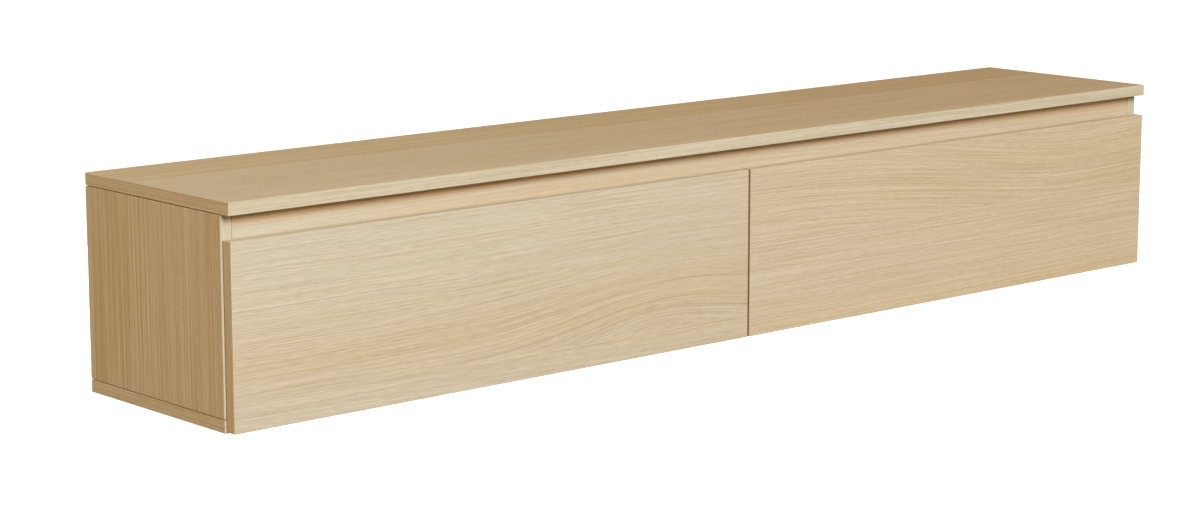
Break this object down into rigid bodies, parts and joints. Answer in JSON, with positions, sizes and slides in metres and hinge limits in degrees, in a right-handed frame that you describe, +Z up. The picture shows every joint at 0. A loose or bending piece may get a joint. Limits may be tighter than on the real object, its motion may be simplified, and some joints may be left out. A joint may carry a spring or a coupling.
{
  "type": "floating media console",
  "caption": "Long wall-hung media console in light oak veneer, with flush wide drawers opened by a finger gap under the overhanging top.",
  "frame": {"origin": "on the wall plane, at the middle of the wall rail's back face", "axes": "+X along the console to its right end as seen from the room, +Y into the wall, +Z up; the drawers face -Y"},
  "size_m": [2, 0.37, 0.3299],
  "materials": {
    "oak_front": "matt lacquered oak veneer",
    "oak_top": "matt lacquered oak veneer",
    "oak_carcass": "matt lacquered oak veneer",
    "birch_box": "clear lacquered birch",
    "back_board": "oak-faced thin board",
    "beech_dowel": "fluted beech",
    "zinc_steel": "bright zinc plate",
    "clear_pad": "soft clear pad"
  },
  "bodies": {
    "carcass": {"bottom_left_front_dowel": "beech_dowel", "bottom_left_rear_dowel": "beech_dowel", "bottom_panel": "oak_carcass", "bottom_right_front_dowel": "beech_dowel", "bottom_right_rear_dowel": "beech_dowel", "centre_partition": "oak_carcass", "front_rail": "oak_front", "left_back_panel": "back_board", "left_hanger": "zinc_steel", "left_hanger_inner_screw": "zinc_steel", "left_hanger_outer_screw": "zinc_steel", "left_inner_runner_cabinet_member": "zinc_steel", "left_outer_runner_cabinet_member": "zinc_steel", "left_side_panel": "oak_carcass", "rear_stretcher": "birch_box", "right_back_panel": "back_board", "right_hanger": "zinc_steel", "right_hanger_inner_screw": "zinc_steel", "right_hanger_outer_screw": "zinc_steel", "right_inner_runner_cabinet_member": "zinc_steel", "right_outer_runner_cabinet_member": "zinc_steel", "right_side_panel": "oak_carcass", "top_left_front_dowel": "beech_dowel", "top_left_rear_dowel": "beech_dowel", "top_panel": "oak_top", "top_right_front_dowel": "beech_dowel", "top_right_rear_dowel": "beech_dowel", "wall_rail": "zinc_steel"},
    "left_drawer": {"left_drawer_back": "birch_box", "left_drawer_bottom": "birch_box", "left_drawer_front": "oak_front", "left_drawer_front_screw_1": "zinc_steel", "left_drawer_front_screw_2": "zinc_steel", "left_drawer_front_screw_3": "zinc_steel", "left_drawer_front_screw_4": "zinc_steel", "left_drawer_inner_bumper": "clear_pad", "left_drawer_inner_front": "birch_box", "left_drawer_inner_side": "birch_box", "left_drawer_outer_bumper": "clear_pad", "left_drawer_outer_side": "birch_box", "left_inner_runner_drawer_member": "zinc_steel", "left_outer_runner_drawer_member": "zinc_steel"},
    "right_drawer": {"right_drawer_back": "birch_box", "right_drawer_bottom": "birch_box", "right_drawer_front": "oak_front", "right_drawer_front_screw_1": "zinc_steel", "right_drawer_front_screw_2": "zinc_steel", "right_drawer_front_screw_3": "zinc_steel", "right_drawer_front_screw_4": "zinc_steel", "right_drawer_inner_bumper": "clear_pad", "right_drawer_inner_front": "birch_box", "right_drawer_inner_side": "birch_box", "right_drawer_outer_bumper": "clear_pad", "right_drawer_outer_side": "birch_box", "right_inner_runner_drawer_member": "zinc_steel", "right_outer_runner_drawer_member": "zinc_steel"},
    "left_runner_middles": {"left_inner_runner_middle_member": "zinc_steel", "left_outer_runner_middle_member": "zinc_steel"},
    "right_runner_middles": {"right_inner_runner_middle_member": "zinc_steel", "right_outer_runner_middle_member": "zinc_steel"}
  },
  "joints": [
    {"name": "left_drawer_slide", "type": "slide", "parent": "carcass", "child": "left_drawer", "axis": [0, -1, 0], "range_m": [0, 0.29]},
    {"name": "right_drawer_slide", "type": "slide", "parent": "carcass", "child": "right_drawer", "axis": [0, -1, 0], "range_m": [0, 0.29]},
    {"name": "left_runner_middles_slide", "type": "slide", "parent": "carcass", "child": "left_runner_middles", "axis": [0, -1, 0], "range_m": [0, 0.145]},
    {"name": "right_runner_middles_slide", "type": "slide", "parent": "carcass", "child": "right_runner_middles", "axis": [0, -1, 0], "range_m": [0, 0.145]}
  ],
  "couplings": [
    {"joint": "left_runner_middles_slide", "follows": "left_drawer_slide", "ratio": 0.5},
    {"joint": "right_runner_middles_slide", "follows": "right_drawer_slide", "ratio": 0.5}
  ]
}
